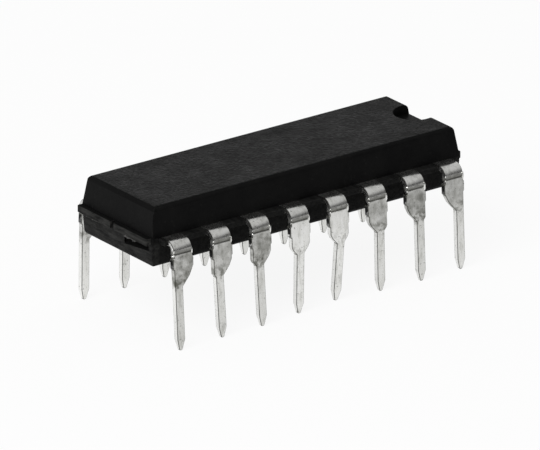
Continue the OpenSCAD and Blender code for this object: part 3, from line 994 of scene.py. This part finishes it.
# %% [markdown]
# ## The moulded body
#
# The body's outer edges get a narrow bevel. Inner corners stay sharp, as the mould's own
# edges leave them, and so does the broken gate. Some faces are marked for the material: the
# gate, the tie-bar slots and the tops of the flanges are hollows, painted black as shade, and
# the rounded edge over the near end and the walls of the notch get a painted shade and are a
# little matte.

# %% Bevel the body
BODY_ROUNDING = 0.045 * MM
GATE_LOW = Vector((-9.80, -2.76, 4.40)) * MM
GATE_HIGH = Vector((-9.30, -0.54, 5.45)) * MM


def in_gate(vert):
    """Whether a corner belongs to the broken gate."""
    return all(low <= v <= high for low, v, high in zip(GATE_LOW, vert.co, GATE_HIGH))


bm = merged_copy("body")
seen = seen_faces(bm)
edges = [
    edge for edge in bm.edges
    if edge.is_convex and edge.calc_face_angle() > SHARP
    and all(face in seen for face in edge.link_faces)
    and not any(in_gate(vert) for vert in edge.verts)
]
mark(bm, "rim", bevel_edges(bm, edges, BODY_ROUNDING))
print("body faces:", len(bm.faces), "bevelled edges:", len(edges))

# %% Mark the body's painted shade and finish it
NOTCH_MIDDLE = Vector((9.095, 0.0)) * MM
NOTCH_REACH = 1.13 * MM
NOTCH_FLOOR = 6.81 * MM
LEDGE_TOP = 5.9 * MM
SLOT_HALF = 0.35 * MM
END_SLACK = 0.05 * MM
UPRIGHT = 0.5
LEVEL = 0.9
OUTWARD = -0.25
ROUNDED = (0.2, 0.97)
SHADE_AND_MATTE_LEVEL = 0.65


def in_notch(vert):
    """Whether a corner belongs to the index notch, below its rim."""
    return (vert.co.xy - NOTCH_MIDDLE).length < NOTCH_REACH and vert.co.z > NOTCH_FLOOR


def on_flange(face):
    """Whether a face belongs to a flange or to the end below it."""
    middle = face.calc_center_median()
    return abs(middle.x) > END_FACE_X - END_SLACK and middle.z < LEDGE_TOP


def is_near_top_edge(face):
    """Whether a face belongs to the rounded edge over the end with the gate."""
    middle = face.calc_center_median()
    slanted = face.normal.x < OUTWARD and ROUNDED[0] < face.normal.z < ROUNDED[1]
    return slanted and middle.z > NOTCH_FLOOR and middle.x < 0.0


walls = [f for f in bm.faces if abs(f.normal.z) < UPRIGHT and all(in_notch(v) for v in f.verts)]
ledges = [f for f in bm.faces if f.normal.z > LEVEL and on_flange(f)]
slots = [f for f in bm.faces if on_flange(f) and abs(f.calc_center_median().y) < SLOT_HALF]
top_edge = [f for f in bm.faces if is_near_top_edge(f)]
gate = [f for f in bm.faces if all(in_gate(v) for v in f.verts)]
# Painted shade: darker on the rounded edge and the notch walls, black in the hollows.
mark(bm, "shaded", top_edge + walls, SHADE_AND_MATTE_LEVEL)
mark(bm, "hollow", ledges + slots + gate)
print("marked faces:", {
    "walls": len(walls), "ledges": len(ledges), "slots": len(slots),
    "top edge": len(top_edge), "gate": len(gate)})
finished_piece("moulded_body", bm, resin, "body")

# %% [markdown]
# ## Torn resin
#
# Where the runner of the mould was snapped off, the flange over the gate keeps a ragged lip,
# and thin flash clings under its far half. A ridge starts as one box along its line. Cutting
# it across many times gives corners to move, and moving them at random makes it ragged.

# %% The ragged ridges
TAPER_RATE = 8.0
TIP_SIZE = 0.2
WILD_X = (-0.3, 0.3)
WILD_Z = (-0.45, 0.35)


def ragged_ridge(name, start, end, depth, height, cuts, seed):
    """A torn ridge from start to end, in mm, as deep along X and as high as given."""
    dice = random.Random(seed)
    start, end = Vector(start) * MM, Vector(end) * MM
    bm = bmesh.new()
    bmesh.ops.create_cube(bm, size=1.0)
    lengthwise = [e for e in bm.edges if abs((e.verts[0].co - e.verts[1].co).y) > 0.5]
    bmesh.ops.subdivide_edges(bm, edges=lengthwise, cuts=cuts, use_grid_fill=True)
    for vert in bm.verts:
        share = vert.co.y + 0.5
        whole = min(1.0, TAPER_RATE * share, TAPER_RATE * (1.0 - share))
        taper = whole * (1.0 - TIP_SIZE) + TIP_SIZE
        wild = Vector((dice.uniform(*WILD_X), 0.0, dice.uniform(*WILD_Z)))
        vert.co = start.lerp(end, share) + Vector((
            (vert.co.x + wild.x) * depth * taper * MM, 0.0,
            (vert.co.z + wild.z) * height * taper * MM))
    bmesh.ops.recalc_face_normals(bm, faces=bm.faces)
    print(name, "corners:", len(bm.verts))
    finished_piece(name, bm, lip_resin, None)


ragged_ridge(
    "gate_lip", start=(-9.94, -0.72, 5.41), end=(-9.96, -2.10, 5.40),
    depth=0.16, height=0.11, cuts=20, seed=3)
ragged_ridge(
    "flange_flash", start=(-9.86, 2.86, 5.36), end=(-9.88, 1.05, 5.37),
    depth=0.14, height=0.07, cuts=22, seed=8)
